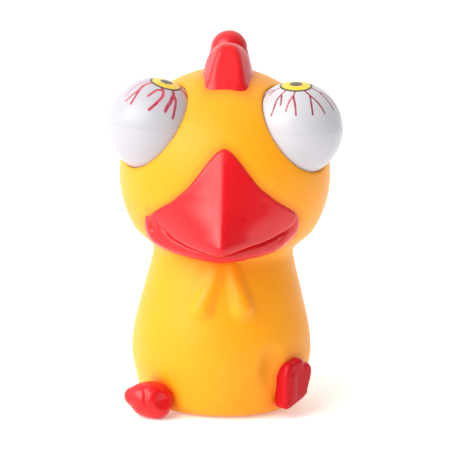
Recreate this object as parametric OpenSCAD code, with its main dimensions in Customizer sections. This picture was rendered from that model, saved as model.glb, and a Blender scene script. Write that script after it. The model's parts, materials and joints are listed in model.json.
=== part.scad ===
// Squeeze chicken whose eyeballs pop out of their sockets.
// Millimetres, +Z up, the chicken faces -Y, origin at the middle of its flat base.
// Left and right are as seen by someone facing the chicken: left is -X.

/* [Body skin] */
// Radius of the round head
head_r = 27.3; // [27.1:0.1:27.5]
// Height of the head's centre above the base
head_z = 60.9; // [60.8:0.1:61.0]
// Thickness of the soft vinyl skin
wall = 2.0; // [1.8:0.1:2.2]
// Thickness of the floor that holds the squeaker
floor_t = 3.5; // [3.4:0.1:3.8]
// Gap left for the glue under the red pieces
glue = 0.08; // [0.05:0.01:0.12]

/* [Eyes] */
// Radius of an eyeball
ball_r = 12.0; // [11.8:0.1:12.1]
// Wall of the two halves of an eyeball
ball_wall = 1.2; // [1.0:0.1:1.4]
// Radius of the cup that an eyeball sits in
cup_r = 12.75; // [12.6:0.05:12.8]
// Distance of an eyeball's centre from the head's centre
eye_reach = 24.5; // [24.3:0.1:24.8]
// Angle of an eye from straight ahead, seen from above
eye_az = 60.5; // [59:0.5:62]
// Angle of an eye above the horizontal
eye_el = 32.5; // [31:0.5:34]
// Radius of the elastic tether
cord_r = 0.8; // [0.6:0.05:0.9]

/* [Comb] */
// Height of the tallest lobe's centre above the head's centre
comb_h = 31.7; // [31.2:0.1:32.2]
// Radius of the comb's tallest lobe
comb_lobe_r = 4.8; // [4.4:0.1:5.0]

/* [Beak] */
// How far the beak's tip stands in front of the head's centre
beak_reach = 35.0; // [33:0.5:36]
// Distance from the middle to a corner of the mouth
beak_half_w = 17.9; // [17.4:0.1:18.2]

/* [Feet] */
// Radius of a toe
toe_r = 2.3; // [2.1:0.1:2.5]

/* [Squeaker] */
// Radius of the squeaker plug where it fills the hole in the floor
plug_r = 8.0; // [7.6:0.1:8.2]
// Radius of the plug's outer flange
flange_r = 10.5; // [10.2:0.1:10.8]
// Height of the squeaker plug above the base
plug_top = 13.0; // [12:0.5:14]
// Radius of the air hole in the plug
air_r = 1.2; // [1.0:0.1:1.5]

/* [Hidden] */
$fn = 96;

yellow = [1.0, 0.74, 0.16];
red = [0.90, 0.12, 0.12];
white = [0.95, 0.94, 0.96];
milky = [0.88, 0.88, 0.84];

// outline of the trunk, from the edge of the flat base up to the cheek, as [radius, height]
trunk = [[18.6, 0], [20.1, 0.7], [21.1, 2.4], [21.7, 5.2], [22.5, 9], [23.3, 13], [23.4, 16],
         [23.0, 20], [22.2, 24], [21.2, 28], [20.2, 32], [19.2, 35.6], [18.5, 38.6],
         [18.2, 40.3], [18.35, 41.5], [19.0, 42.6], [20.2, 43.7], [21.7, 45.0]];

eye_n = [sin(eye_az) * cos(eye_el), -cos(eye_az) * cos(eye_el), sin(eye_el)];
head_c = [0, 0, head_z];
eye_c = head_c + eye_reach * eye_n;
// the pole of each ball's printed half, square to its seam
pole_right = unit([-0.06, 0, 0.998]);
pole_left = unit([0.11, 0.015, 0.994]);
// where the tether leaves the right ball, and the right cup
stem_dir = unit([0.05, 0.24, -0.97]);
hole_dir = unit([0.106, 0.272, -0.956]);
port_r = 1.9;
cup_wall = wall - 0.1;
clear = 0.05;
big = 200;

function unit(v) = v / norm(v);
function mir(v) = [-v[0], v[1], v[2]];

// a smooth curve through the points of p, with n steps between each pair
function smooth(p, n) = [for (i = [0:len(p) - 2]) for (j = [0:n - 1])
    let (t = j / n, a = p[max(i - 1, 0)], b = p[i], c = p[i + 1], d = p[min(i + 2, len(p) - 1)])
    0.5 * (2 * b + (c - a) * t + (2 * a - 5 * b + 4 * c - d) * t * t + (3 * b - a - 3 * c + d) * t * t * t)];

cheek = asin((46.65 - head_z) / head_r);
outline = concat(smooth(concat(trunk, [[head_r * cos(cheek), 46.65]]), 2),
    [for (i = [0:20]) let (a = cheek + (90 - cheek) * i / 20) [head_r * cos(a), head_z + head_r * sin(a)]]);

// the outline moved inwards by o
function inset(p, o) = [for (i = [0:len(p) - 1])
    let (t = unit(p[min(i + 1, len(p) - 1)] - p[max(i - 1, 0)]))
    i == len(p) - 1 ? [0, p[i][1] - o] : p[i] + o * [-t[1], t[0]]];

module revolve(p) rotate_extrude() polygon(concat([[0, p[0][1]]], p));

module outer() revolve(outline);

// everything inside the outline grown by the glue gap, to trim the glued pieces with
module trim() revolve(concat([[18.6, -1]], inset(outline, -glue)));

module hollow() intersection() {
    revolve(inset(outline, wall));
    translate([-big / 2, -big / 2, floor_t]) cube(big);
}

module along(v) rotate([0, acos(unit(v)[2]), atan2(v[1], v[0])]) children();

module rod(a, b, r1, r2) translate(a) along(b - a) cylinder(h = norm(b - a), r1 = r1, r2 = r2);

module ball(p, r) translate(p) sphere(r = r, $fn = 32);

// one of the two soft lobes that hang on the chest
module chest_lobe(s) {
    a = [s * 1.6, -17.7, 36.2];
    b = [s * 5.6, -20.6, 27.6];
    translate(a) sphere(r = 1.5);
    rod(a, b, 1.5, 2.3);
    translate(b) sphere(r = 2.3);
}

module body_shell() color(yellow) difference() {
    union() {
        difference() {
            union() {
                outer();
                for (s = [-1, 1]) chest_lobe(s);
            }
            hollow();
        }
        for (s = [0, 1]) mirror([s, 0, 0]) intersection() {
            outer();
            translate(eye_c) sphere(r = cup_r + cup_wall);
        }
    }
    for (s = [0, 1]) mirror([s, 0, 0]) {
        translate(eye_c) sphere(r = cup_r);
        rod(eye_c + 11 * hole_dir, eye_c + 16 * hole_dir, 1.9, 1.9);
    }
    translate([0, 0, -1]) cylinder(h = 2.5, r = flange_r + 0.3);
    translate([0, 0, 1]) cylinder(h = 8, r = plug_r + clear);
}

// a comb of three lobes, thick enough to stand up by itself
module comb() color(red) difference() {
    union() {
        hull() {
            ball(head_c + [0, -10.8, 20.8], 5.4);
            ball(head_c + [0, -7.6, 31.2], 2.8);
            ball(head_c + [0, 2, 22], 6.3);
        }
        hull() {
            ball(head_c + [0, -4, 21.5], 6.5);
            ball(head_c + [0, 4.5, comb_h], comb_lobe_r);
            ball(head_c + [0, 10, 20], 6.2);
        }
        hull() {
            ball(head_c + [0, 7, 20], 5.8);
            ball(head_c + [0, 15, 26], 3.6);
            ball(head_c + [0, 17.5, 17], 4.4);
        }
    }
    trim();
}

// a point of the beak that stands k in front of the head's skin
function on_skin(x, z, k) = head_c + [x, -sqrt(pow(head_r, 2) - x * x - z * z) - k, z];

apex = on_skin(0, 8.7, -0.2);
brow = on_skin(0, -1.0, 2.6);
tip = head_c + [0, -beak_reach, -14.2];
chin = head_c + [0, -29.6, -16.9];

module bead(p, r) translate(p) sphere(r = r, $fn = 20);

module upper_mouth() {
    hull() {
        bead(brow, 1.0);
        bead(tip, 1.3);
        for (s = [-1, 1]) {
            bead(on_skin(s * 8.4, -0.6, 0), 0.9);
            bead(on_skin(s * 13.3, -5.2, 0), 0.9);
            bead(head_c + [s * 7, -28.4, -12.9], 1.3);
        }
    }
    hull() for (s = [-1, 1]) {
        bead(on_skin(s * 13.3, -5.2, 0), 0.9);
        bead(head_c + [s * 7, -28.4, -12.9], 1.3);
        bead(head_c + [s * beak_half_w, -16.4, -9.0], 1.5);
        bead(head_c + [s * 13.4, -21.4, -11.2], 1.3);
    }
}

module lower_raw() hull() {
    bead(chin, 1.2);
    for (s = [-1, 1]) {
        bead(head_c + [s * beak_half_w, -15.6, -12.2], 1.6);
        bead(head_c + [s * 7.5, -25.6, -16.3], 1.3);
        bead(head_c + [s * 14.0, -18.6, -15.2], 1.5);
    }
    bead(head_c + [0, -16, -16.5], 2.4);
}

module upper_beak() color(red) difference() {
    union() {
        hull() {
            bead(apex, 1.3);
            bead(brow, 1.0);
            for (s = [-1, 1]) {
                bead(on_skin(s * 3.6, 5.6, 0), 0.9);
                bead(on_skin(s * 8.4, -0.6, 0), 0.9);
            }
        }
        upper_mouth();
    }
    trim();
}

module lower_beak() color(red) difference() {
    lower_raw();
    translate([0, 0, -0.15]) upper_mouth();
    trim();
}

// the foot that lies on its side: heel on the floor, toes up and outwards
module left_foot() color(red) difference() {
    intersection() {
        union() {
            hull() {
                ball([-14.2, -18.8, 3.8], 3.8);
                ball([-16.6, -20.8, 2.5], 2.8);
                ball([-20.8, -17.6, 5.6], toe_r);
            }
            hull() {
                ball([-14.2, -17.8, 4.4], 3.8);
                ball([-18.4, -16.4, 6.5], toe_r);
            }
            hull() {
                ball([-16.6, -20.8, 2.5], 2.8);
                ball([-20.2, -19.6, 3.8], toe_r);
            }
        }
        translate([-big / 2, -big / 2, 0]) cube(big);
    }
    trim();
}

// the foot that stands on its heel with its sole turned outwards
module right_foot() color(red) difference() {
    union() {
        hull() {
            ball([17.6, -15.4, 5.6], 3.0);
            ball([17.4, -16.4, 13.2], toe_r);
        }
        hull() {
            ball([17.6, -15.4, 5.6], 3.0);
            ball([20.8, -13.8, 7.2], 2.8);
            ball([20.2, -15.0, 14.0], toe_r);
        }
        hull() {
            ball([20.4, -13.2, 7.2], 2.8);
            ball([22.6, -12.8, 12.6], toe_r);
        }
    }
    trim();
}

// the white plastic plug: flange under the floor, neck through it, snap rib above it
module squeaker_plug() color(white) difference() {
    union() {
        translate([0, 0, 0.4]) cylinder(h = 1.05, r = flange_r);
        translate([0, 0, 0.4]) cylinder(h = plug_top - 0.4, r = plug_r);
        translate([0, 0, floor_t + 0.1]) cylinder(h = 1.2, r1 = plug_r + 0.8, r2 = plug_r + 0.2);
    }
    translate([0, 0, 2.2]) cylinder(h = 20, r = plug_r - 1.4);
    translate([0, 0, -1]) cylinder(h = 5, r = air_r);
}

// the block with the channel that the reed buzzes against
module squeaker_reed_seat() color(milky) difference() {
    translate([0, 0, 4.2]) cylinder(h = 7.6, r = plug_r - 1.4 - clear);
    translate([-2.0, -0.3, 4.0]) cube([4.0, 0.6, 9]);
    translate([-1.2, 0.2, 4.0]) cube([2.4, 2.2, 6.2]);
}

module squeaker_reed() color([0.75, 0.77, 0.8]) translate([-1.8, -0.15, 5.0]) cube([3.6, 0.3, 6.2]);

// an eyeball's printed half, its pole up along +Z
module half_front() difference() {
    sphere(r = ball_r);
    sphere(r = ball_r - ball_wall);
    translate([-big / 2, -big / 2, -big]) cube(big);
    translate([0, 0, -1]) cylinder(h = 2.5, r = ball_r - 0.5);
}

// an eyeball's plain half, with the lip that the printed half closes over
module half_rear() difference() {
    union() {
        difference() {
            sphere(r = ball_r);
            translate([-big / 2, -big / 2, -0.02]) cube(big);
        }
        translate([0, 0, -1]) cylinder(h = 2.4, r = ball_r - 0.5 - clear);
    }
    sphere(r = ball_r - ball_wall);
    translate([0, 0, 0.5]) cylinder(h = 2, r = ball_r - ball_wall - 0.05);
}

// the plain half in place, with the port for the tether
module eye_rear(pole, stem) difference() {
    along(pole) half_rear();
    along(stem) translate([0, 0, ball_r - 3]) cylinder(h = 4, r = port_r);
}

// the elastic link: round bead inside the eyeball, cord, arrowhead behind the cup
module tether(stem, hole) {
    bead_c = (ball_r - ball_wall - 2.9) * stem;
    run = (cup_r + cup_wall + 0.4) * hole - bead_c;
    translate(bead_c) along(run) rotate_extrude() intersection() {
        union() {
            circle(r = 2.6);
            square([cord_r, norm(run) + 1]);
            polygon([[0, norm(run)], [2.7, norm(run)], [0.9, norm(run) + 3.8], [0, norm(run) + 3.8]]);
        }
        translate([0, -5]) square([10, 40]);
    }
}

module left_eye_front() color(white) translate(mir(eye_c)) along(pole_left) half_front();
module left_eye_rear() color(white) translate(mir(eye_c)) eye_rear(pole_left, mir(stem_dir));
module left_eye_tether() color(milky) translate(mir(eye_c)) tether(mir(stem_dir), mir(hole_dir));
module right_eye_front() color(white) translate(eye_c) along(pole_right) half_front();
module right_eye_rear() color(white) translate(eye_c) eye_rear(pole_right, stem_dir);
module right_eye_tether() color(milky) translate(eye_c) tether(stem_dir, hole_dir);

body_shell();
comb();
upper_beak();
lower_beak();
left_foot();
right_foot();
squeaker_plug();
squeaker_reed_seat();
squeaker_reed();
left_eye_front();
left_eye_rear();
left_eye_tether();
right_eye_front();
right_eye_rear();
right_eye_tether();
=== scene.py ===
# Squeeze chicken with pop-out eyes: soft vinyl skin, glossy printed eyeballs, squeaker in the base.
# Shapes are worked out in millimetres and written to the meshes in metres.
import json
import math

import bmesh
import bpy
import numpy as np
from mathutils import Matrix, Vector


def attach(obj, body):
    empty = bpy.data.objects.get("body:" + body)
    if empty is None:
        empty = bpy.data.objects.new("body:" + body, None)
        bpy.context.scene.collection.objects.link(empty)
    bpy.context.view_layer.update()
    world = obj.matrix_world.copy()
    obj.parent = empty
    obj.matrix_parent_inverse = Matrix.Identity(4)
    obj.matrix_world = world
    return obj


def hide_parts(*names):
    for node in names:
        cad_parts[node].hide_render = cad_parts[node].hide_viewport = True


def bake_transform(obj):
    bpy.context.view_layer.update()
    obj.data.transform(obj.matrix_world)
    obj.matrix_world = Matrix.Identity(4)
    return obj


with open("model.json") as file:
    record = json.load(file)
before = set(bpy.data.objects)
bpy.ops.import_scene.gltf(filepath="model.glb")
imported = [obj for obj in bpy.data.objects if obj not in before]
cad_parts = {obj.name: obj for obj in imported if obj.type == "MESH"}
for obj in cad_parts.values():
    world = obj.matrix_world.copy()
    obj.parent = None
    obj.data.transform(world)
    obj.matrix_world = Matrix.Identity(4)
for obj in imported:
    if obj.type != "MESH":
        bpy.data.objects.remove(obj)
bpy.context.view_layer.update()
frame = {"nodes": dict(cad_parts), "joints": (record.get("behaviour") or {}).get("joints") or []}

MM = 0.001
V3 = lambda *v: np.array(v, float)
JOINT = {j["name"]: j for j in frame["joints"]}


# ---------------------------------------------------------------- distance functions

def smin(a, b, k):
    h = np.clip(0.5 + 0.5 * (b - a) / k, 0, 1)
    return b + (a - b) * h - k * h * (1 - h)


def smax(a, b, k):
    return -smin(-a, -b, k)


def ball(p, c, r):
    return np.linalg.norm(p - c, axis=1) - r


def cone(p, a, b, ra, rb):
    """A rod with round ends whose radius goes from ra to rb."""
    a, b = np.asarray(a, float), np.asarray(b, float)
    ba = b - a
    h = np.clip(((p - a) @ ba) / (ba @ ba), 0, 1)
    return np.linalg.norm(p - a - h[:, None] * ba, axis=1) - (ra + (rb - ra) * h)


def egg(p, c, radii, turn=None):
    q = p - c
    if turn is not None:
        q = q @ turn
    r = np.asarray(radii, float)
    k0 = np.linalg.norm(q / r, axis=1)
    k1 = np.linalg.norm(q / (r * r), axis=1)
    return k0 * (k0 - 1) / np.maximum(k1, 1e-9)


def tube(p, c, axis, r, lo, hi):
    """A cylinder about the line through c along axis, between lo and hi on it."""
    axis = np.asarray(axis, float) / np.linalg.norm(axis)
    q = p - c
    h = q @ axis
    rad = np.linalg.norm(q - h[:, None] * axis, axis=1)
    return np.maximum(rad - r, np.maximum(lo - h, h - hi))


def smooth_curve(points, n):
    """A Catmull-Rom curve through the points."""
    pts = np.asarray(points, float)
    out = []
    for i in range(len(pts) - 1):
        a, b, c, d = pts[max(i - 1, 0)], pts[i], pts[i + 1], pts[min(i + 2, len(pts) - 1)]
        for t in np.arange(n) / n:
            out.append(0.5 * (2 * b + (c - a) * t + (2 * a - 5 * b + 4 * c - d) * t * t + (3 * b - a - 3 * c + d) * t ** 3))
    out.append(pts[-1])
    return np.array(out)


def table(points, lo, hi):
    """A smooth function of one variable through the points, as a fine table."""
    c = smooth_curve(points, 24)
    x = np.linspace(lo, hi, 1600)
    return x, np.interp(x, c[:, 0], c[:, 1])


# ---------------------------------------------------------------- surface from a distance function

def surface(f, lo, hi, h, relax=6):
    """Vertices and quads of the surface f = 0, as surface nets settled onto the function."""
    lo, hi = np.asarray(lo, float), np.asarray(hi, float)
    n = np.ceil((hi - lo) / h).astype(int) + 1
    ax = [lo[i] + h * np.arange(n[i]) for i in range(3)]
    v = np.empty(n, np.float32)
    for i in range(n[0]):
        g = np.stack(np.meshgrid([ax[0][i]], ax[1], ax[2], indexing="ij"), -1).reshape(-1, 3)
        v[i] = f(g).reshape(n[1], n[2])
    v[v == 0] = 1e-6
    s = v < 0
    total = np.zeros(tuple(n - 1) + (3,), np.float32)
    count = np.zeros(tuple(n - 1), np.int16)
    for axis in range(3):
        o1, o2 = [k for k in range(3) if k != axis]
        a = np.take(v, range(n[axis] - 1), axis)
        b = np.take(v, range(1, n[axis]), axis)
        cross = (a < 0) != (b < 0)
        t = np.where(cross, a / np.where(cross, a - b, 1), 0)
        for d1 in (0, 1):
            for d2 in (0, 1):
                sl = [slice(None)] * 3
                sl[o1] = slice(d1, n[o1] - 1 + d1)
                sl[o2] = slice(d2, n[o2] - 1 + d2)
                c, tt = cross[tuple(sl)], t[tuple(sl)]
                count += c
                total[..., axis] += tt * c
                total[..., o1] += d1 * c
                total[..., o2] += d2 * c
    used = count > 0
    index = np.full(count.shape, -1, np.int64)
    index[used] = np.arange(used.sum())
    cell = np.argwhere(used)
    verts = lo + h * (cell + total[used] / count[used][:, None])
    quads = []
    for axis in range(3):
        o1, o2 = [(1, 2), (2, 0), (0, 1)][axis]
        a = np.take(s, range(n[axis] - 1), axis)
        b = np.take(s, range(1, n[axis]), axis)
        at = np.argwhere(a != b)
        at = at[(at[:, o1] > 0) & (at[:, o2] > 0) & (at[:, o1] < n[o1] - 1) & (at[:, o2] < n[o2] - 1)]
        corner = []
        for d1, d2 in ((1, 1), (0, 1), (0, 0), (1, 0)):
            q = at.copy()
            q[:, o1] -= d1
            q[:, o2] -= d2
            corner.append(index[q[:, 0], q[:, 1], q[:, 2]])
        q = np.stack(corner, 1)
        out = a[at[:, 0], at[:, 1], at[:, 2]]
        q[~out] = q[~out][:, ::-1]
        quads.append(q)
    quads = np.concatenate(quads)
    quads = quads[(quads >= 0).all(1)]

    def grad(p):
        e = 0.12 * h
        g = np.empty_like(p)
        for k in range(3):
            d = np.zeros(3)
            d[k] = e
            g[:, k] = (f(p + d) - f(p - d)) / (2 * e)
        return g

    def settle(p):
        g = grad(p)
        step = f(p)[:, None] * g / np.maximum((g * g).sum(1), 0.05)[:, None]
        size = np.linalg.norm(step, axis=1)
        return p - step * np.minimum(1, 0.5 * h / np.maximum(size, 1e-9))[:, None]

    e = np.concatenate([quads[:, [0, 1]], quads[:, [1, 2]], quads[:, [2, 3]], quads[:, [3, 0]]])
    deg = np.zeros(len(verts))
    np.add.at(deg, e[:, 0], 1)
    np.add.at(deg, e[:, 1], 1)
    for i in range(relax):
        around = np.zeros_like(verts)
        np.add.at(around, e[:, 0], verts[e[:, 1]])
        np.add.at(around, e[:, 1], verts[e[:, 0]])
        verts = verts + 0.5 * (around / deg[:, None] - verts)
        verts = settle(verts)
    for i in range(2):
        verts = settle(verts)
    return verts, quads


def make_object(name, verts, faces, material, smooth=True):
    me = bpy.data.meshes.new(name)
    verts = np.asarray(verts, float) * MM
    me.vertices.add(len(verts))
    me.vertices.foreach_set("co", verts.astype(np.float32).ravel())
    if isinstance(faces, np.ndarray):
        k = faces.shape[1]
        me.loops.add(faces.size)
        me.loops.foreach_set("vertex_index", faces.astype(np.int32).ravel())
        me.polygons.add(len(faces))
        me.polygons.foreach_set("loop_start", (np.arange(len(faces)) * k).astype(np.int32))
    else:
        flat = [i for q in faces for i in q]
        starts = np.cumsum([0] + [len(q) for q in faces[:-1]])
        me.loops.add(len(flat))
        me.loops.foreach_set("vertex_index", np.array(flat, np.int32))
        me.polygons.add(len(faces))
        me.polygons.foreach_set("loop_start", starts.astype(np.int32))
    me.update(calc_edges=True)
    me.validate()
    me.polygons.foreach_set("use_smooth", [smooth] * len(me.polygons))
    me.materials.append(material)
    o = bpy.data.objects.new(name, me)
    bpy.context.scene.collection.objects.link(o)
    return o


# ---------------------------------------------------------------- shapes of the toy, in millimetres

HEAD_R = 27.3
H = V3(0, 0, 60.9)
TRUNK = [[15.4, 0], [18.4, 0.6], [20.5, 2.2], [21.6, 5.2], [22.5, 9], [23.3, 13], [23.4, 16],
         [23.0, 20], [22.2, 24], [21.2, 28], [20.2, 32], [19.2, 35.6], [18.5, 38.6],
         [18.2, 40.3], [18.35, 41.5], [19.0, 42.6], [20.2, 43.7], [21.7, 45.0]]
cheek = math.asin((46.65 - H[2]) / HEAD_R)
OUTLINE = np.concatenate([
    smooth_curve(TRUNK + [[HEAD_R * math.cos(cheek), 46.65]], 6),
    [[HEAD_R * math.cos(a), H[2] + HEAD_R * math.sin(a)] for a in np.linspace(cheek, math.pi / 2, 90)[1:]],
])
GR, GZ, GS = 36.0, (-4.0, 96.0), 0.25


def outline_table():
    r = np.arange(0, GR + GS, GS)
    z = np.arange(GZ[0], GZ[1] + GS, GS)
    p = np.concatenate([[[0, 0]], OUTLINE])
    a, b = p[:-1], p[1:]
    out = np.empty((len(r), len(z)))
    edge = np.interp(z, OUTLINE[:, 1], OUTLINE[:, 0])
    for i, rr in enumerate(r):
        q = np.stack([np.full(len(z), rr), z], 1)
        ba = b - a
        pa = q[:, None] - a[None]
        h = np.clip((pa * ba).sum(-1) / (ba * ba).sum(-1), 0, 1)
        d = np.linalg.norm(pa - h[..., None] * ba, axis=-1).min(1)
        inside = (z > 0) & (z < H[2] + HEAD_R) & (rr < edge)
        out[i] = np.where(inside, -d, d)
    return out


OUT_TABLE = outline_table()


def turned(p):
    """Distance to the turned outline of trunk and head."""
    r = np.hypot(p[:, 0], p[:, 1]) / GS
    z = (p[:, 2] - GZ[0]) / GS
    r = np.clip(r, 0, OUT_TABLE.shape[0] - 1.001)
    z = np.clip(z, 0, OUT_TABLE.shape[1] - 1.001)
    i, j = r.astype(int), z.astype(int)
    u, w = r - i, z - j
    t = OUT_TABLE
    return ((1 - u) * (1 - w) * t[i, j] + u * (1 - w) * t[i + 1, j] + (1 - u) * w * t[i, j + 1] + u * w * t[i + 1, j + 1])


EYE = {"right": np.array(JOINT["right_eye_roll"]["pos_m"]) / MM, "left": np.array(JOINT["left_eye_roll"]["pos_m"]) / MM}
OUTWARD = {s: np.array(JOINT[s + "_eye_pop"]["axis"]) for s in EYE}
BALL_R, CUP_R, CUP_WALL = 12.0, 12.03, 1.9
unit = lambda v: np.asarray(v, float) / np.linalg.norm(v)
HOLE = {"right": unit([0.106, 0.272, -0.956]), "left": unit([-0.106, 0.272, -0.956])}
STEM = {"right": unit([0.05, 0.24, -0.97]), "left": unit([-0.05, 0.24, -0.97])}
POLE = {"right": unit([-0.06, 0.0, 0.998]), "left": unit([0.11, 0.015, 0.994])}
IRIS = {"right": unit([-0.02, -0.21, 0.978]), "left": unit([0.26, -0.17, 0.95])}

# half width of the upper beak at each height, and the two edges of the mouth, in the head's own heights
WIDTH = table([[-22, 18.0], [-14, 18.6], [-11, 19.1], [-9.2, 18.9], [-7.4, 17.9], [-5.2, 15.2], [-3.6, 13.0], [-1.9, 11.1], [0, 9.0],
               [2.6, 6.9], [5.7, 4.6], [7.6, 3.1], [8.9, 1.8], [9.6, 0.7], [9.9, 0.0], [12, -2.4]], -22, 12)
RIDGE = table([[-22, 15], [-15.6, 13.2], [-13.5, 12.2], [-11, 9.6], [-8, 7.1], [-5, 5.1], [-2, 3.6], [1, 2.5], [4, 1.7], [7, 1.1], [10, 0.6]], -22, 10)
LIP = table([[-24, -2.0], [-17.6, -6.2], [-16.75, -8.2], [-16.35, -10.0], [-14.4, -11.8], [-11.8, -13.7], [-7.4, -15.0], [-3.2, -15.7], [0, -15.75],
             [2.4, -15.4], [6.1, -14.4], [10, -13.7], [12.6, -13.0], [15.4, -11.7], [17.6, -10.4], [18.8, -9.0], [19.6, -7.6], [24, -4.0]], -24, 24)
CHIN = table([[-24, -9.4], [-20.2, -11.2], [-19.5, -13.2], [-17.6, -15.5], [-13.3, -17.2], [-8.4, -17.95], [-2.5, -18.4], [1, -18.45],
              [6.2, -17.9], [12.6, -16.9], [15.5, -15.6], [17.7, -13.8], [19.2, -11.8], [20.2, -9.8], [24, -8.0]], -24, 24)
JAW = table([[-24, 12.0], [-20.6, 14.0], [-19.4, 16.9], [-17.4, 19.0], [-14.5, 21.2], [-8.4, 26.0], [-4, 28.8], [0, 30.0], [4, 29.2], [8.4, 26.6], [13.1, 22.6], [17.2, 18.9], [19.2, 16.8], [20.4, 14.0], [24, 12]], -24, 24)
RIM = (LIP[0], np.minimum(LIP[1] + 0.25, -7.3))


def look(t, x):
    return np.interp(x, t[0], t[1])


def skin_depth(x, z):
    return np.sqrt(np.maximum(HEAD_R ** 2 - x * x - z * z, 1.0))


def upper_depth(x, z):
    w = np.maximum(look(WIDTH, z), 0.4)
    ax = np.sqrt(x * x + 0.9) - 0.949
    t = np.clip(ax / w, 0, 1.3)
    lift = look(RIDGE, z)
    side = np.sign(1 - t) * np.abs(1 - t) ** 1.45
    return skin_depth(x, z) + 0.55 + np.maximum(lift - 0.55, 0) * side


def sloped(p, depth, side=0.25):
    """Roughly the distance in front of a depth map seen from the front."""
    x, d, z = p[:, 0], -p[:, 1], p[:, 2] - H[2]
    g = depth(x, z)
    gx = (depth(x + side, z) - depth(x - side, z)) / (2 * side)
    gz = (depth(x, z + side) - depth(x, z - side)) / (2 * side)
    return (d - g) / np.sqrt(1 + gx * gx + gz * gz)


def upper_beak(p):
    x, z = p[:, 0], p[:, 2] - H[2]
    x = x - 0.35
    q = p.copy()
    q[:, 0] = x
    front = sloped(q, upper_depth)
    zs = z - 0.035 * x
    w = look(WIDTH, zs)
    slope = (look(WIDTH, zs + 0.3) - look(WIDTH, zs - 0.3)) / 0.6
    side = (np.abs(x) - w) / np.sqrt(1 + slope * slope)
    x0 = p[:, 0]
    e = look(LIP, x0)
    es = (look(LIP, x0 + 0.3) - look(LIP, x0 - 0.3)) / 0.6
    under = (e - z) / np.sqrt(1 + es * es)
    f = smax(front, side, 0.9)
    f = smax(f, under, 0.8)
    f = smax(f, p[:, 1] + 9.0, 0.5)
    return np.maximum(f, 25.6 - np.linalg.norm(p - H, axis=1))


def lower_beak(p):
    x, d, z = p[:, 0], -p[:, 1], p[:, 2] - H[2]
    g = look(JAW, x)
    gs = np.clip((look(JAW, x + 0.3) - look(JAW, x - 0.3)) / 0.6, -1.4, 1.4)
    front = (d - g) / np.sqrt(1 + gs * gs)
    front = front + 0.16 * np.maximum(-16.5 - z, 0) + 0.55 * np.clip(1 - (look(LIP, x) - z) / 0.9, 0, 1)
    c = look(CHIN, x)
    cs = (look(CHIN, x + 0.3) - look(CHIN, x - 0.3)) / 0.6
    bottom = (c - z - 0.10 * np.maximum(g - d, 0)) / np.sqrt(1 + cs * cs)
    e = look(RIM, x)
    es = (look(RIM, x + 0.3) - look(RIM, x - 0.3)) / 0.6
    top = (z - e) / np.sqrt(1 + es * es)
    f = smax(front, bottom, 2.0)
    f = smax(f, top, 0.7)
    f = smax(f, np.abs(x) - 20.0, 0.6)
    f = smax(f, -egg(p, H + V3(-17.6, -20.4, -11.0), (1.0, 2.6, 2.2)), 0.7)
    f = smax(f, -cone(p, H + V3(16.9, -20.6, -11.9), H + V3(15.1, -21.6, -13.7), 0.95, 0.75), 0.6)
    # a thin layer on the cheek closes the corners of the mouth behind the upper beak
    zs = z - 0.035 * x
    corner = smax(smax(turned(p) - 0.5, np.abs(x - 0.3) - look(WIDTH, np.maximum(zs, -11.5)), 0.7), smax(bottom, 10.5 - np.abs(x), 0.6), 0.7)
    f = np.maximum(smin(f, corner, 0.5), p[:, 1] + 9.0)
    return np.maximum(f, 25.6 - np.linalg.norm(p - H, axis=1))


def comb(p):
    q = p - H
    q = q.copy()
    q[:, 0] -= 0.25 + 0.012 * (q[:, 2] - 22)
    x, y, z = np.abs(q[:, 0]), q[:, 1], q[:, 2]
    side = 0.879 * x - 0.298 * y + 0.373 * z - 17.4 - 0.6 * np.clip(25.2 - z, 0, 3) ** 1.2
    face = -0.892 * y + 0.452 * z - 23.5
    up, low = np.maximum(z - 27.6, 0), np.maximum(27.6 - z, 0)
    roof = (np.sqrt((x / (6.3 + 0.12 * low)) ** 2 + ((y + 6.2) / (9 + 0.5 * low)) ** 2 + (up / 6.6) ** 2 + 1e-6) - 1) * 6.4
    front = smax(smax(side, face, 0.9), roof, 1.3)
    front = np.maximum(smax(front, y - 1.0, 2.0), 15 - z)
    mid = cone(q, V3(-0.1, 4.4, 31.7), V3(0, 3.0, 20.0), 4.75, 8.0)
    rear = cone(q, V3(0, 14.6, 25.6), V3(0, 12.5, 16.0), 3.5, 5.9)
    f = smin(front, mid, 1.0)
    f = smin(f, rear, 1.6)
    return np.maximum(f, 25.8 - np.linalg.norm(p - H, axis=1))


def left_foot(p):
    bun = egg(p, V3(-17.0, -18.9, 4.75), (5.35, 4.9, 4.6))
    sole = cone(p, V3(-19.2, -19.4, 3.6), V3(-15.3, -20.2, 2.95), 2.4, 2.85)
    toe = cone(p, V3(-21.8, -18.6, 5.4), V3(-18.6, -18.8, 4.8), 2.3, 3.3)
    knuckle = cone(p, V3(-16.3, -20.4, 6.2), V3(-15.6, -20.2, 4.2), 2.3, 3.0)
    second = cone(p, V3(-20.2, -19.2, 6.1), V3(-18.2, -19.2, 4.8), 2.4, 3.0)
    f = smin(smin(bun, sole, 1.6), smin(toe, second, 0.6), 1.4)
    f = smin(f, knuckle, 0.9)
    f = smax(f, -ball(p, V3(-12.9, -24.0, 5.6), 2.4), 1.5)
    f = smax(f, -cone(p, V3(-18.6, -22.6, 8.3), V3(-18.3, -23.9, 4.8), 0.5, 0.3), 0.8)
    return smax(f, -p[:, 2] + 0.02, 0.6)


SOLE_N = unit([0.74, -0.67, 0.03])
SOLE_T = unit(np.cross([0, 0, 1], SOLE_N))
SOLE_C = V3(19.5, -14.3, 9.2)
SOLE = np.array([[-4.0, -5.3], [-3.0, -5.0], [1.0, -3.5], [2.3, -2.7], [2.4, -1.8], [3.5, 0.9], [3.6, 2.0], [2.2, 3.3], [-0.9, 4.5], [-2.6, 4.1],
                 [-3.6, 3.0], [-4.0, 1.8]])


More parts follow.
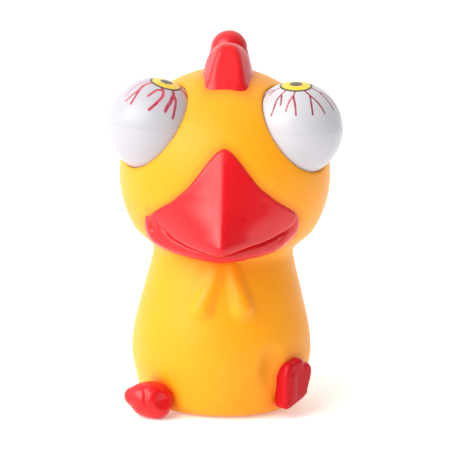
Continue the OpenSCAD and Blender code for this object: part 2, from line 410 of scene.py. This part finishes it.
def right_foot(p):
    """A sole that faces out to the side, with three toes along its top and the instep towards the front."""
    q = p - SOLE_C
    n, t, z = q @ SOLE_N, q @ SOLE_T, q[:, 2]
    d2 = np.full(len(p), 1e9)
    inside = np.zeros(len(p), bool)
    for i in range(len(SOLE)):
        a, b = SOLE[i], SOLE[(i + 1) % len(SOLE)]
        ba = b - a
        px, py = t - a[0], z - a[1]
        h = np.clip((px * ba[0] + py * ba[1]) / (ba @ ba), 0, 1)
        d2 = np.minimum(d2, np.hypot(px - h * ba[0], py - h * ba[1]))
        flip = (a[1] > z) != (b[1] > z)
        with np.errstate(divide="ignore", invalid="ignore"):
            xx = a[0] + (z - a[1]) / (b[1] - a[1]) * ba[0]
        inside ^= flip & (t < xx)
    d2 = np.where(inside, -d2, d2)
    for tt, zz, r in ((-2.3, 3.5, 1.0), (0.1, 4.0, 1.1), (2.7, 2.6, 1.1)):
        d2 = smin(d2, np.hypot(t - tt, z - zz) - r, 0.5)
    d2 = smax(d2, 0.3 - np.hypot(t + 1.15, z - 5.9), 0.5)
    d2 = smax(d2, 0.3 - np.hypot(t - 1.55, z - 5.2), 0.5)
    dn = np.abs(n + 0.55) - 1.15
    f = np.hypot(np.maximum(d2, 0), np.maximum(dn, 0)) + np.minimum(np.maximum(d2, dn), 0) - 1.15
    at = lambda tt, zz, nn=0.0: SOLE_C + SOLE_T * tt + SOLE_N * nn + V3(0, 0, zz)
    f = smin(f, cone(p, at(-2.6, -3.2, 0.55), at(-2.6, 1.5, 0.5), 1.5, 1.4), 0.9)
    f = smin(f, cone(p, V3(16.4, -13.6, 7.0), V3(15.9, -12.9, 10.5), 2.6, 2.6), 1.6)
    for tt, zz in ((-1.2, 5.3), (1.6, 4.6)):
        f = smax(f, -cone(p, at(tt, zz + 0.8, 1.9), at(tt * 0.9, zz - 1.3, 2.1), 0.42, 0.3), 0.7)
    return f


def skin(p, detail=True):
    """The outside of the yellow skin, before its hollow is taken out."""
    f = turned(p)
    if not detail:
        return f
    lobes = smin(cone(p, V3(-0.2, -17.0, 39.6), V3(-4.4, -19.5, 28.8), 1.6, 3.05),
                 cone(p, V3(2.6, -16.9, 39.6), V3(5.6, -19.2, 29.1), 1.6, 3.05), 0.35)
    lobes = smax(lobes, -cone(p, V3(1.4, -20.2, 39.0), V3(0.8, -22.4, 29.0), 0.8, 1.3), 0.6)
    f = smin(f, lobes, 1.0)
    f = smax(f, -egg(p, V3(14.9, -20.9, 13.2), (3.8, 3.6, 6.2)), 2.4)
    f = smin(f, upper_beak(p) + 0.75, 1.1)
    f = smin(f, lower_beak(p) + 0.9, 1.0)
    f = smin(f, comb(p) + 0.9, 1.6)
    f = smin(f, left_foot(p) + 0.9, 1.2)
    f = smin(f, right_foot(p) + 0.8, 1.2)
    return f


def shell(p):
    f = skin(p)
    inner = np.maximum(np.maximum(turned(p) + 2.0, f + 1.4), 3.5 - p[:, 2])
    for s in EYE:
        d = np.linalg.norm(p - EYE[s], axis=1)
        f = smax(f, CUP_R - d, 0.8)
        inner = np.maximum(inner, CUP_R + CUP_WALL - d)
    f = np.maximum(f, -inner)
    for s in EYE:
        f = np.maximum(f, -tube(p, EYE[s], HOLE[s], 1.7, 11, 16.5))
    f = smax(f, -tube(p, V3(0, 0, 0), (0, 0, 1), 10.8, -3, 1.5), 0.3)
    return np.maximum(f, -tube(p, V3(0, 0, 0), (0, 0, 1), 8.05, -3, 9))


# ---------------------------------------------------------------- materials

def srgb(r, g, b):
    f = lambda c: c / 12.92 if c <= 0.04045 else ((c + 0.055) / 1.055) ** 2.4
    return (f(r / 255), f(g / 255), f(b / 255), 1)


class Nodes:
    """A small helper that makes shader nodes and links them."""

    def __init__(self, name):
        self.mat = bpy.data.materials.new(name)
        self.mat.use_nodes = True
        self.tree = self.mat.node_tree
        self.bsdf = self.tree.nodes["Principled BSDF"]
        self.at = 0

    def new(self, kind, **props):
        n = self.tree.nodes.new(kind)
        n.location = (-300 - 180 * (self.at % 12), -220 * (self.at // 12))
        self.at += 1
        for k, v in props.items():
            setattr(n, k, v)
        return n

    def put(self, socket, value):
        if isinstance(value, bpy.types.NodeSocket):
            self.tree.links.new(value, socket)
        else:
            socket.default_value = value

    def math(self, op, a, b=None, c=None, clamp=False):
        n = self.new("ShaderNodeMath", operation=op, use_clamp=clamp)
        for i, v in enumerate((a, b, c)):
            if v is not None:
                self.put(n.inputs[i], v)
        return n.outputs[0]

    def vec(self, op, a, b=None, scale=None):
        n = self.new("ShaderNodeVectorMath", operation=op)
        self.put(n.inputs[0], a)
        if b is not None:
            self.put(n.inputs[1], b)
        if scale is not None:
            self.put(n.inputs["Scale"], scale)
        return n.outputs["Value"] if op in ("DOT_PRODUCT", "LENGTH", "DISTANCE") else n.outputs[0]

    def coord(self):
        if not hasattr(self, "_coord"):
            self._coord = self.new("ShaderNodeTexCoord").outputs["Object"]
        return self._coord

    def noise(self, scale, detail=3.0, rough=0.55, vector=None):
        n = self.new("ShaderNodeTexNoise")
        self.put(n.inputs["Vector"], self.coord() if vector is None else vector)
        n.inputs["Scale"].default_value = scale
        n.inputs["Detail"].default_value = detail
        n.inputs["Roughness"].default_value = rough
        return n.outputs["Fac"]

    def mix(self, fac, a, b):
        n = self.new("ShaderNodeMix", data_type="RGBA")
        self.put(n.inputs["Factor"], fac)
        self.put(n.inputs["A"], a)
        self.put(n.inputs["B"], b)
        return n.outputs["Result"]

    def remap(self, v, a, b, c, d, smooth=False):
        n = self.new("ShaderNodeMapRange")
        if smooth:
            n.interpolation_type = "SMOOTHSTEP"
        self.put(n.inputs["Value"], v)
        for k, x in zip(("From Min", "From Max", "To Min", "To Max"), (a, b, c, d)):
            n.inputs[k].default_value = x
        return n.outputs["Result"]

    def bump(self, height, strength, distance, normal=None):
        n = self.new("ShaderNodeBump")
        n.inputs["Strength"].default_value = strength
        n.inputs["Distance"].default_value = distance
        self.put(n.inputs["Height"], height)
        if normal is not None:
            self.put(n.inputs["Normal"], normal)
        return n.outputs["Normal"]


def yellow_vinyl():
    m = Nodes("yellow_vinyl")
    b = m.bsdf
    cloud = m.noise(38, 2.0, 0.5)
    speck = m.noise(900, 2.0, 0.6)
    tone = m.remap(cloud, 0.3, 0.7, 0.0, 1.0)
    base = m.mix(tone, srgb(251, 165, 20), srgb(250, 160, 17))
    base = m.mix(m.remap(speck, 0.55, 0.75, 0.0, 0.12), base, srgb(252, 186, 60))
    # Orange-red tint read from the skin's attribute: partly red overspray at the paint edges, partly painted reflection
    # of red light bounced onto the yellow near the red parts, and painted shade in the hollow beside the right foot.
    overspray_and_bounce_tint = m.new("ShaderNodeAttribute", attribute_name="red_overspray_and_bounce").outputs["Fac"]
    overspray_and_bounce_tint = m.math("POWER", m.math("ADD", overspray_and_bounce_tint, m.math("MULTIPLY", m.math("SUBTRACT", m.noise(300, 2.0), 0.5), 0.16), clamp=True), 1.8)
    base = m.mix(m.math("MULTIPLY", overspray_and_bounce_tint, 0.62), base, srgb(238, 84, 22))
    m.put(b.inputs["Base Color"], base)
    m.put(b.inputs["Roughness"], m.remap(m.noise(160, 3.0), 0.3, 0.7, 0.36, 0.46))
    b.inputs["Specular IOR Level"].default_value = 0.28
    b.inputs["Subsurface Weight"].default_value = 0.30
    b.inputs["Subsurface Radius"].default_value = (1.0, 0.42, 0.08)
    b.inputs["Subsurface Scale"].default_value = 0.0025
    peel = m.noise(520, 2.0, 0.45)
    n1 = m.bump(peel, 0.05, 0.0004)
    n2 = m.bump(m.noise(60, 2.0, 0.5), 0.04, 0.0012, n1)
    m.put(b.inputs["Normal"], n2)
    return m.mat


def red_vinyl(name="red_vinyl", dark=0.0):
    m = Nodes(name)
    b = m.bsdf
    cloud = m.noise(90, 3.0, 0.5)
    # dark at 1 makes a darker, duller copy of the same red vinyl: painted shade for the right foot's sole, which faces
    # away from the lights.
    base = m.mix(m.remap(cloud, 0.3, 0.7, 0.0, 1.0), srgb(218 - 20 * dark, 14 - 8 * dark, 24), srgb(210 - 20 * dark, 9 - 4 * dark, 22))
    speck = m.noise(1300, 1.0, 0.5)
    base = m.mix(m.remap(speck, 0.62, 0.8, 0.0, 0.15), base, srgb(250, 80, 70))
    m.put(b.inputs["Base Color"], base)
    m.put(b.inputs["Roughness"], m.remap(m.noise(220, 3.0), 0.3, 0.7, 0.25 + 0.1 * dark, 0.34 + 0.1 * dark))
    b.inputs["Specular IOR Level"].default_value = 0.44 - 0.22 * dark
    b.inputs["Subsurface Weight"].default_value = 0.12
    b.inputs["Subsurface Radius"].default_value = (1.0, 0.12, 0.08)
    b.inputs["Subsurface Scale"].default_value = 0.0015
    n1 = m.bump(m.noise(620, 2.0, 0.5), 0.03, 0.0003)
    n2 = m.bump(m.noise(110, 2.0, 0.5), 0.035, 0.0008, n1)
    m.put(b.inputs["Normal"], n2)
    return m.mat


def eye_frame(side):
    """The iris's own axes: w points at the iris, u to the viewer's right, v away from the viewer."""
    w = IRIS[side]
    u = unit(np.cross([0, 1, 0], w)) if abs(w[1]) < 0.9 else unit(np.cross([1, 0, 0], w))
    v = np.cross(w, u)
    return u, v, w


# Each vein is a line printed on the ball: points as (direction round the iris, distance from its middle), both in
# degrees, then the line's width in degrees and how dark its ink is. Direction 0 is to the viewer's right, -90 towards them.
VEINS = {
    "right": [
        ([(-162, 19), (-167, 27)], 1.8, 0.8), ([(-167, 27), (-160, 36)], 1.6, 0.9), ([(-167, 27), (-175, 34), (-171, 42), (-162, 50)], 1.7, 0.8),
        ([(-128, 19), (-130, 28)], 1.6, 0.6), ([(-130, 28), (-131, 37), (-128, 47), (-127, 58)], 1.9, 0.8), ([(-130, 28), (-122, 35), (-118, 43)], 1.9, 0.9),
        ([(-92, 19), (-97, 28)], 1.5, 0.45), ([(-97, 28), (-104, 38), (-106, 50)], 1.7, 0.35), ([(-97, 28), (-92, 40), (-90, 54)], 2.0, 0.8),
        ([(-59, 19), (-54, 29)], 2.1, 0.9), ([(-54, 29), (-61, 41), (-65, 55)], 1.9, 1.0), ([(-54, 29), (-47, 41), (-44, 57)], 2.0, 1.0),
        ([(-17, 19), (-17, 29)], 2.0, 0.7), ([(-17, 29), (-20, 40), (-22, 58)], 1.9, 0.8), ([(-17, 29), (-8, 43), (-11, 57)], 1.7, 0.6),
        ([(20, 19), (24, 30)], 1.8, 0.8), ([(24, 30), (17, 42), (18, 55)], 1.7, 0.9), ([(24, 30), (33, 41), (33, 52)], 1.7, 0.8),
        ([(60, 19), (58, 30)], 1.8, 0.7), ([(58, 30), (51, 43), (52, 56)], 1.8, 0.9), ([(58, 30), (68, 42), (70, 51)], 1.7, 0.8),
        ([(98, 19), (101, 30)], 1.8, 0.8), ([(101, 30), (94, 42), (95, 53)], 1.8, 0.8), ([(101, 30), (110, 43), (109, 56)], 1.8, 0.9),
        ([(140, 19), (144, 30)], 1.9, 0.9), ([(144, 30), (136, 43), (136, 55)], 1.8, 0.8), ([(144, 30), (154, 42), (156, 53)], 1.7, 0.8),
    ],
    "left": [
        ([(-165, 19), (-162, 36), (-155, 49), (-152, 57)], 1.3, 0.2),
        ([(-149, 19), (-147, 31), (-142, 38)], 3.8, 0.45), ([(-142, 38), (-142, 49), (-143, 60)], 2.4, 0.7), ([(-142, 38), (-135, 48), (-132, 59)], 3.2, 0.9),
        ([(-101, 19), (-91, 24)], 3.5, 0.8), ([(-91, 24), (-106, 26), (-112, 33), (-115, 40)], 3.2, 0.55), ([(-91, 24), (-88, 32), (-92, 40), (-96, 46)], 3.5, 0.2),
        ([(-95, 45), (-98, 50), (-102, 56)], 3.8, 0.9),
        ([(-57, 19), (-61, 28)], 3.9, 0.9), ([(-61, 28), (-71, 39), (-76, 46), (-78, 52)], 4.5, 0.8), ([(-60, 28), (-59, 36), (-63, 48), (-66, 59)], 3.2, 0.8),
        ([(-7, 19), (-13, 28), (-16, 37)], 4.0, 0.6), ([(-13, 28), (-22, 38), (-26, 47)], 3.2, 0.5),
        ([(28, 19), (32, 30)], 3.7, 0.8), ([(32, 30), (24, 42), (22, 54)], 3.2, 0.8), ([(32, 30), (42, 43), (44, 55)], 3.2, 0.6),
        ([(74, 19), (72, 30)], 3.7, 0.7), ([(72, 30), (63, 43), (62, 56)], 3.3, 0.8), ([(72, 30), (82, 41), (84, 51)], 3.2, 0.8),
        ([(118, 19), (121, 31)], 3.5, 0.8), ([(121, 31), (112, 43), (110, 53)], 3.2, 0.6), ([(121, 31), (130, 43), (134, 57)], 3.3, 0.9),
        ([(158, 19), (161, 30)], 3.4, 0.7), ([(161, 30), (154, 43), (156, 54)], 3.2, 0.8), ([(161, 30), (171, 42), (176, 52)], 2.9, 0.7),
    ],
}


def paint_veins(obj, side):
    """Writes on each point of the ball how far it is from the nearest vein's edge, in millimetres, and that vein's tone."""
    me = obj.data
    co = np.empty(len(me.vertices) * 3, np.float32)
    me.vertices.foreach_get("co", co)
    d = co.reshape(-1, 3).astype(float) / MM - EYE[side]
    d /= np.linalg.norm(d, axis=1)[:, None]
    u, v, w = eye_frame(side)
    away = np.degrees(np.arccos(np.clip(d @ w, -1, 1)))
    turn = np.arctan2(d @ v, d @ u)
    q = np.stack([away * np.cos(turn), away * np.sin(turn)], 1)
    best = np.full(len(q), 60.0)
    tone = np.zeros(len(q))
    for points, wide, dark in VEINS[side]:
        wide = wide * (1.28 if side == "right" else 1.08)
        xy = np.array([(t * math.cos(math.radians(a)), t * math.sin(math.radians(a))) for a, t in points])
        xy = smooth_curve(xy, 6)
        for a, e in zip(xy[:-1], xy[1:]):
            h = np.clip(((q - a) @ (e - a)) / ((e - a) @ (e - a)), 0, 1)
            g = np.linalg.norm(q - a - h[:, None] * (e - a), axis=1) - wide / 2
            near = g < best
            best = np.where(near, g, best)
            tone = np.where(near, dark, tone)
    for name, val in (("vein", best * BALL_R * math.pi / 180), ("tone", tone)):
        at = me.attributes.new(name, "FLOAT", "POINT")
        at.data.foreach_set("value", val.astype(np.float32))


def eye_plastic(side):
    """White ball with a printed pupil, iris, ring and forked veins."""
    m = Nodes("eye_plastic_" + side)
    b = m.bsdf
    u, v, w = eye_frame(side)
    c = Vector(EYE[side] * MM)
    d = m.vec("NORMALIZE", m.vec("SUBTRACT", m.coord(), tuple(c)))
    z = m.vec("DOT_PRODUCT", d, tuple(w))
    away = m.math("MULTIPLY", m.math("ARCCOSINE", z), 180 / math.pi)
    vein_at = m.new("ShaderNodeAttribute", attribute_name="vein").outputs["Fac"]
    tone_at = m.new("ShaderNodeAttribute", attribute_name="tone").outputs["Fac"]
    rough_edge = m.math("MULTIPLY", m.math("SUBTRACT", m.noise(1100, 2.0), 0.5), 0.12)
    vein = m.remap(m.math("ADD", vein_at, rough_edge), -0.04, 0.06, 1.0, 0.0, smooth=True)
    blot = m.remap(m.noise(520, 3.0, 0.6), 0.36, 0.6, 0.82, 1.0)
    vein = m.math("MULTIPLY", vein, blot)
    r = m.math("ADD", away, m.math("MULTIPLY", m.math("SUBTRACT", m.noise(420, 1.0), 0.5), 0.8))
    # The left ball's white is a shade darker than the right's: painted shade that offsets the stronger light on the
    # left ball, as both balls are the same white plastic.
    white = m.mix(m.remap(m.noise(70, 2.0), 0.35, 0.65, 0.0, 1.0), *{"right": (srgb(199, 198, 204), srgb(194, 193, 200)),
                                                                 "left": (srgb(186, 185, 192), srgb(181, 180, 188))}[side])
    if side == "right":
        ink = m.mix(tone_at, srgb(204, 52, 72), srgb(138, 4, 28))
    else:
        ink = m.mix(tone_at, srgb(212, 62, 92), srgb(168, 4, 48))
    col = m.mix(vein, white, ink)
    ring = m.remap(r, 19.9, 20.6, 1.0, 0.0, smooth=True)
    col = m.mix(ring, col, srgb(58, 56, 48))
    iris = m.remap(r, 17.1, 17.8, 1.0, 0.0, smooth=True)
    streak = m.remap(m.noise(260, 3.0, 0.7), 0.35, 0.7, 0.0, 1.0)
    col = m.mix(iris, col, m.mix(streak, srgb(240, 205, 40), srgb(230, 190, 30)))
    pupil = m.remap(r, 7.4, 8.1, 1.0, 0.0, smooth=True)
    col = m.mix(pupil, col, srgb(72, 70, 70))
    m.put(b.inputs["Base Color"], col)
    m.put(b.inputs["Roughness"], m.remap(m.noise(140, 2.0), 0.3, 0.7, 0.28, 0.35))
    b.inputs["Specular IOR Level"].default_value = 0.38
    b.inputs["Subsurface Weight"].default_value = 0.15
    b.inputs["Subsurface Radius"].default_value = (1.0, 0.9, 0.85)
    b.inputs["Subsurface Scale"].default_value = 0.002
    printed = m.math("MAXIMUM", vein, ring)
    n1 = m.bump(printed, 0.25, 0.00003)
    n2 = m.bump(m.noise(90, 2.0), 0.05, 0.0003, n1)
    m.put(b.inputs["Normal"], n2)
    return m.mat


def plain(name, colour_a, colour_b, rough, scale=200, metallic=0.0, sss=0.0, brushed=False, bump=0.08):
    m = Nodes(name)
    b = m.bsdf
    vec = None
    if brushed:
        mp = m.new("ShaderNodeMapping")
        m.put(mp.inputs["Vector"], m.coord())
        mp.inputs["Scale"].default_value = (12, 12, 0.6)
        vec = mp.outputs[0]
    f = m.noise(scale, 3.0, 0.6, vec)
    m.put(b.inputs["Base Color"], m.mix(m.remap(f, 0.3, 0.7, 0, 1), colour_a, colour_b))
    m.put(b.inputs["Roughness"], m.remap(m.noise(scale * 1.7, 2.0, 0.5, vec), 0.3, 0.7, rough - 0.06, rough + 0.06))
    b.inputs["Metallic"].default_value = metallic
    if sss:
        b.inputs["Subsurface Weight"].default_value = sss
        b.inputs["Subsurface Scale"].default_value = 0.002
    m.put(b.inputs["Normal"], m.bump(m.noise(scale * 2.4, 2.0, 0.5, vec), bump, 0.0003))
    return m.mat


YELLOW = yellow_vinyl()
RED = red_vinyl()
# A darker copy of the red for the right foot: painted shade, as its sole faces away from the lights.
RED_SHADED_SOLE = red_vinyl("red_vinyl_sole_painted_shade", 1.0)
EYE_MAT = {s: eye_plastic(s) for s in EYE}
PLUG = plain("plug_plastic", srgb(236, 234, 226), srgb(226, 223, 214), 0.45, 180)
SEAT = plain("seat_plastic", srgb(205, 209, 204), srgb(192, 197, 193), 0.5, 180)
REED = plain("reed_metal", srgb(200, 203, 208), srgb(176, 180, 186), 0.3, 300, metallic=1.0, brushed=True)
TETHER = plain("tether_elastomer", srgb(226, 224, 212), srgb(214, 211, 198), 0.4, 220, sss=0.3)


# ---------------------------------------------------------------- pieces

def cut_to_skin(f, sink=0.45):
    return lambda p: np.maximum(f(p), -(turned(p) + sink))


def piece(name, f, lo, hi, h, material, body, nodes, relax=6):
    v, q = surface(f, lo, hi, h, relax)
    o = make_object(name, v, q, material)
    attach(o, body)
    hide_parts(*nodes)
    return o


coarse = 1.0


def red_overspray_and_bounce(o):
    """Writes on each point of the skin how near the red paint is, from 1 at it to 0 at 2.4 mm; within 6.5 mm of the
    right foot it is raised to as much as 0.7. The tint it drives is partly the paint's overspray and partly painted
    reflection of red light bounced onto the yellow; in the hollow by the right foot it is painted shade.
    """
    me = o.data
    co = np.empty(len(me.vertices) * 3, np.float32)
    me.vertices.foreach_get("co", co)
    p = co.reshape(-1, 3).astype(float) / MM
    nb = np.empty(len(co), np.float32)
    me.vertices.foreach_get("normal", nb)
    p = p + 0.6 * nb.reshape(-1, 3)
    d = np.minimum.reduce([comb(p), upper_beak(p), lower_beak(p), left_foot(p), right_foot(p)])
    at = me.attributes.new("red_overspray_and_bounce", "FLOAT", "POINT")
    # Painted shade and painted red bounce light in the belly's hollow beside the right foot.
    foot = 0.7 * np.clip(1 - right_foot(p) / 6.5, 0, 1) ** 1.6 * np.clip((22 - p[:, 0]) / 5, 0, 1)
    at.data.foreach_set("value", np.maximum(np.clip(1 - d / 2.4, 0, 1), foot).astype(np.float32))


skin_piece = piece("body_skin", shell, (-28.6, -31.0, -0.9), (28.6, 28.6, 89.4), 0.67 * coarse, YELLOW, "chicken", ["body_shell"], 5)
red_overspray_and_bounce(skin_piece)
piece("comb_moulding", cut_to_skin(comb), (-9, -20, 75), (9, 21, 99), 0.4 * coarse, RED, "chicken", ["comb"])
piece("upper_beak_moulding", cut_to_skin(upper_beak, 0.9), (-21.5, -39, 41), (21.5, -11, 73), 0.36 * coarse, RED, "chicken", ["upper_beak"])
piece("lower_beak_moulding", cut_to_skin(lower_beak, 0.9), (-22, -33, 40), (22, -9, 56), 0.36 * coarse, RED, "chicken", ["lower_beak"])
piece("left_foot_moulding", cut_to_skin(left_foot, 0.9), (-25, -25, -0.8), (-8, -12, 11), 0.32 * coarse, RED, "chicken", ["left_foot"])
piece("right_foot_moulding", cut_to_skin(right_foot, 0.9), (11, -21, 0.6), (27, -8, 18), 0.32 * coarse, RED_SHADED_SOLE, "chicken", ["right_foot"])


def turn_profile(name, profile, c, u, v, w, material, steps=160):
    """Turns a closed profile of (radius, height) points about the axis w through c."""
    prof = np.asarray(profile, float)
    n = len(prof)
    ang = 2 * np.pi * np.arange(steps) / steps
    verts, ring_of = [], []
    for r, h in prof:
        if r < 1e-6:
            ring_of.append([len(verts)])
            verts.append(c + w * h)
        else:
            ring_of.append(list(range(len(verts), len(verts) + steps)))
            for a in ang:
                verts.append(c + u * (r * math.cos(a)) + v * (r * math.sin(a)) + w * h)
    faces = []
    for i in range(n):
        a, b = ring_of[i], ring_of[(i + 1) % n]
        if len(a) == 1 and len(b) == 1:
            continue
        for k in range(steps):
            k2 = (k + 1) % steps
            if len(a) == 1:
                faces.append((a[0], b[k2], b[k]))
            elif len(b) == 1:
                faces.append((a[k], a[k2], b[0]))
            else:
                faces.append((a[k], a[k2], b[k2], b[k]))
    return make_object(name, np.array(verts), faces, material)


def face_out(o):
    bm = bmesh.new()
    bm.from_mesh(o.data)
    bmesh.ops.recalc_face_normals(bm, faces=bm.faces)
    bm.to_mesh(o.data)
    bm.free()


def arc(r, a0, a1, n):
    """Points of a circle of radius r from angle a0 to a1 above the equator, in degrees."""
    return [(r * math.cos(math.radians(a)), r * math.sin(math.radians(a))) for a in np.linspace(a0, a1, n)]


def eyeball(side):
    w = POLE[side]
    u = unit(np.cross([0, 1, 0], w))
    v = np.cross(w, u)
    c = EYE[side]
    steps = 384
    rows = 130
    # printed half: the edge at the seam is rounded, so that a fine groove shows where the halves meet
    edge = [(BALL_R - 0.05, 0.0), (BALL_R - 0.025, 0.03), (BALL_R - 0.006, 0.10), (BALL_R - 0.003, 0.18)]
    outer = arc(BALL_R, 1.3, 90, rows)
    inner = arc(BALL_R - 1.2, 90, 9, 24)
    front = edge + outer + inner + [(BALL_R - 0.5, 1.55), (BALL_R - 0.5, 0.0)]
    f = turn_profile(side + "_eyeball_front", front, c, u, v, w, EYE_MAT[side], steps)
    outer = arc(BALL_R, -90, -1.3, 80)
    edge = [(BALL_R - 0.003, -0.18), (BALL_R - 0.006, -0.10), (BALL_R - 0.025, -0.03), (BALL_R - 0.05, -0.004)]
    rear = outer + edge + [(BALL_R - 0.55, -0.004), (BALL_R - 0.55, 1.38), (BALL_R - 1.25, 1.38), (BALL_R - 1.25, 0.02)] + arc(BALL_R - 1.2, -1, -90, 24)
    r = turn_profile(side + "_eyeball_rear", rear, c, u, v, w, EYE_MAT[side], 192)
    s = STEM[side]
    su = unit(np.cross(s, [1, 0, 0]))
    drill = turn_profile("drill", [(0, 9), (1.9, 9), (1.9, 14), (0, 14)], c, su, np.cross(s, su), s, EYE_MAT[side], 48)
    for o in (f, r, drill):
        face_out(o)
    cut = r.modifiers.new("port", "BOOLEAN")
    cut.object = drill
    cut.solver = "EXACT"
    bpy.context.view_layer.update()
    done = bpy.data.meshes.new_from_object(r.evaluated_get(bpy.context.evaluated_depsgraph_get()))
    r.modifiers.clear()
    r.data = done
    bpy.data.objects.remove(drill)
    r.data.polygons.foreach_set("use_smooth", [True] * len(r.data.polygons))
    for o, node in ((f, "_eye_front"), (r, "_eye_rear")):
        paint_veins(o, side)
        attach(o, side + "_eyeball")
        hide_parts(side + node)


def tether(side):
    """Elastic link: bead inside the ball, cord with flared ends, barb behind the cup. It stretches between the skin and the ball."""
    c, hole = EYE[side], HOLE[side]
    bead = c + STEM[side] * (BALL_R - 1.2 - 2.9)
    back = c + hole * (CUP_R + CUP_WALL + 0.45)
    axis = back - bead
    run = np.linalg.norm(axis)
    axis = axis / run
    u = unit(np.cross(axis, [1, 0, 0]))
    v = np.cross(axis, u)
    prof = [(0, -2.6)] + [(2.6 * math.cos(math.radians(a)), 2.6 * math.sin(math.radians(a))) for a in np.linspace(-84, 66, 22)]
    prof += [(0.92, 2.62), (0.80, 3.1)] + [(0.80, h) for h in np.linspace(3.4, run - 0.5, 16)]
    prof += [(0.95, run - 0.15), (1.3, run), (2.45, run), (2.66, run + 0.12), (2.62, run + 0.4), (1.9, run + 1.9), (1.05, run + 3.5), (0.6, run + 3.78), (0, run + 3.8)]
    o = turn_profile(side + "_tether", prof, bead, u, v, axis, TETHER, 40)
    face_out(o)
    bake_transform(o)
    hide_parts(side + "_eye_tether")


for s in EYE:
    eyeball(s)
    tether(s)

for node, mat in (("squeaker_plug", PLUG), ("squeaker_reed_seat", SEAT), ("squeaker_reed", REED)):
    o = frame["nodes"][node]
    o.data.materials.clear()
    o.data.materials.append(mat)

# ---------------------------------------------------------------- stage, lights and camera

floor_mat = Nodes("floor_paper")
fb = floor_mat.bsdf
floor_mat.put(fb.inputs["Base Color"], floor_mat.mix(floor_mat.remap(floor_mat.noise(3, 2.0), 0.3, 0.7, 0, 1), srgb(250, 250, 250), srgb(247, 247, 248)))
fb.inputs["Roughness"].default_value = 0.9
fb.inputs["Emission Color"].default_value = (1, 1, 1, 1)
fb.inputs["Emission Strength"].default_value = 0.27
fb.inputs["Specular IOR Level"].default_value = 0.1
floor = make_object("floor", [(-4000, -4000, 0), (4000, -4000, 0), (4000, 4000, 0), (-4000, 4000, 0)], [(0, 1, 2, 3)], floor_mat.mat, False)

world = bpy.data.worlds.new("studio")
bpy.context.scene.world = world
world.use_nodes = True
wt = world.node_tree
shade = wt.nodes["Background"]
shade.inputs[0].default_value = (1, 1, 1, 1)
way = wt.nodes.new("ShaderNodeTexCoord")
lean = wt.nodes.new("ShaderNodeVectorMath")
lean.operation = "DOT_PRODUCT"
wt.links.new(way.outputs["Generated"], lean.inputs[0])
lean.inputs[1].default_value = (-0.55, 0.8, 0.4)
# dimmer in front and on the right, bright round the back, as in a white tent open at the front
depth = wt.nodes.new("ShaderNodeMapRange")
depth.interpolation_type = "SMOOTHSTEP"
wt.links.new(lean.outputs["Value"], depth.inputs["Value"])
for k, x in (("From Min", -0.7), ("From Max", 0.9), ("To Min", 0.20), ("To Max", 1.25)):
    depth.inputs[k].default_value = x
seen = wt.nodes.new("ShaderNodeLightPath")
pick = wt.nodes.new("ShaderNodeMix")
wt.links.new(seen.outputs["Is Camera Ray"], pick.inputs["Factor"])
wt.links.new(depth.outputs["Result"], pick.inputs["A"])
pick.inputs["B"].default_value = 1.0
wt.links.new(pick.outputs["Result"], shade.inputs[1])


def area(name, place, size, power, colour=(1, 1, 1), aim=(0, 0, 0.05)):
    light = bpy.data.lights.new(name, "AREA")
    light.shape = "RECTANGLE"
    light.size, light.size_y = size
    light.energy = power
    light.color = colour
    o = bpy.data.objects.new(name, light)
    o.location = place
    o.rotation_euler = (Vector(aim) - Vector(place)).to_track_quat("-Z", "Y").to_euler()
    bpy.context.scene.collection.objects.link(o)
    return o


def sun(name, towards, strength, spread, colour=(1, 1, 1)):
    light = bpy.data.lights.new(name, "SUN")
    light.energy = strength
    light.angle = math.radians(spread)
    light.color = colour
    o = bpy.data.objects.new(name, light)
    o.rotation_euler = Vector(towards).to_track_quat("Z", "Y").to_euler()
    bpy.context.scene.collection.objects.link(o)
    return o


sun("key", (-0.56, -0.60, 0.57), 2.6, 50, (1.0, 0.97, 0.92))
sun("side", (-0.86, -0.30, 0.42), 0.55, 30, (1.0, 0.97, 0.93))

ELEV, YAW, ROLL = math.radians(10.0), math.radians(1.5), math.radians(1.2)
DIST, FRAME_W, SHIFT = 0.6, 0.117, 0.0025
AIM = Vector((0, 0, 0.047))
cam_data = bpy.data.cameras.new("camera")
cam = bpy.data.objects.new("camera", cam_data)
bpy.context.scene.collection.objects.link(cam)
bpy.context.scene.camera = cam
back = Vector((math.sin(YAW) * math.cos(ELEV), -math.cos(YAW) * math.cos(ELEV), math.sin(ELEV)))
right = (-back).cross(Vector((0, 0, 1))).normalized()
up = right.cross(-back)
r2 = right * math.cos(ROLL) + up * math.sin(ROLL)
u2 = up * math.cos(ROLL) - right * math.sin(ROLL)
m = Matrix((r2, u2, back)).transposed().to_4x4()
m.translation = AIM + back * DIST
cam.matrix_world = m
cam_data.sensor_width = 36
cam_data.lens = 36 * DIST / FRAME_W
cam_data.shift_x = SHIFT
cam_data.clip_start, cam_data.clip_end = 0.05, 20

bpy.context.scene.view_settings.view_transform = "Standard"
bpy.context.view_layer.update()
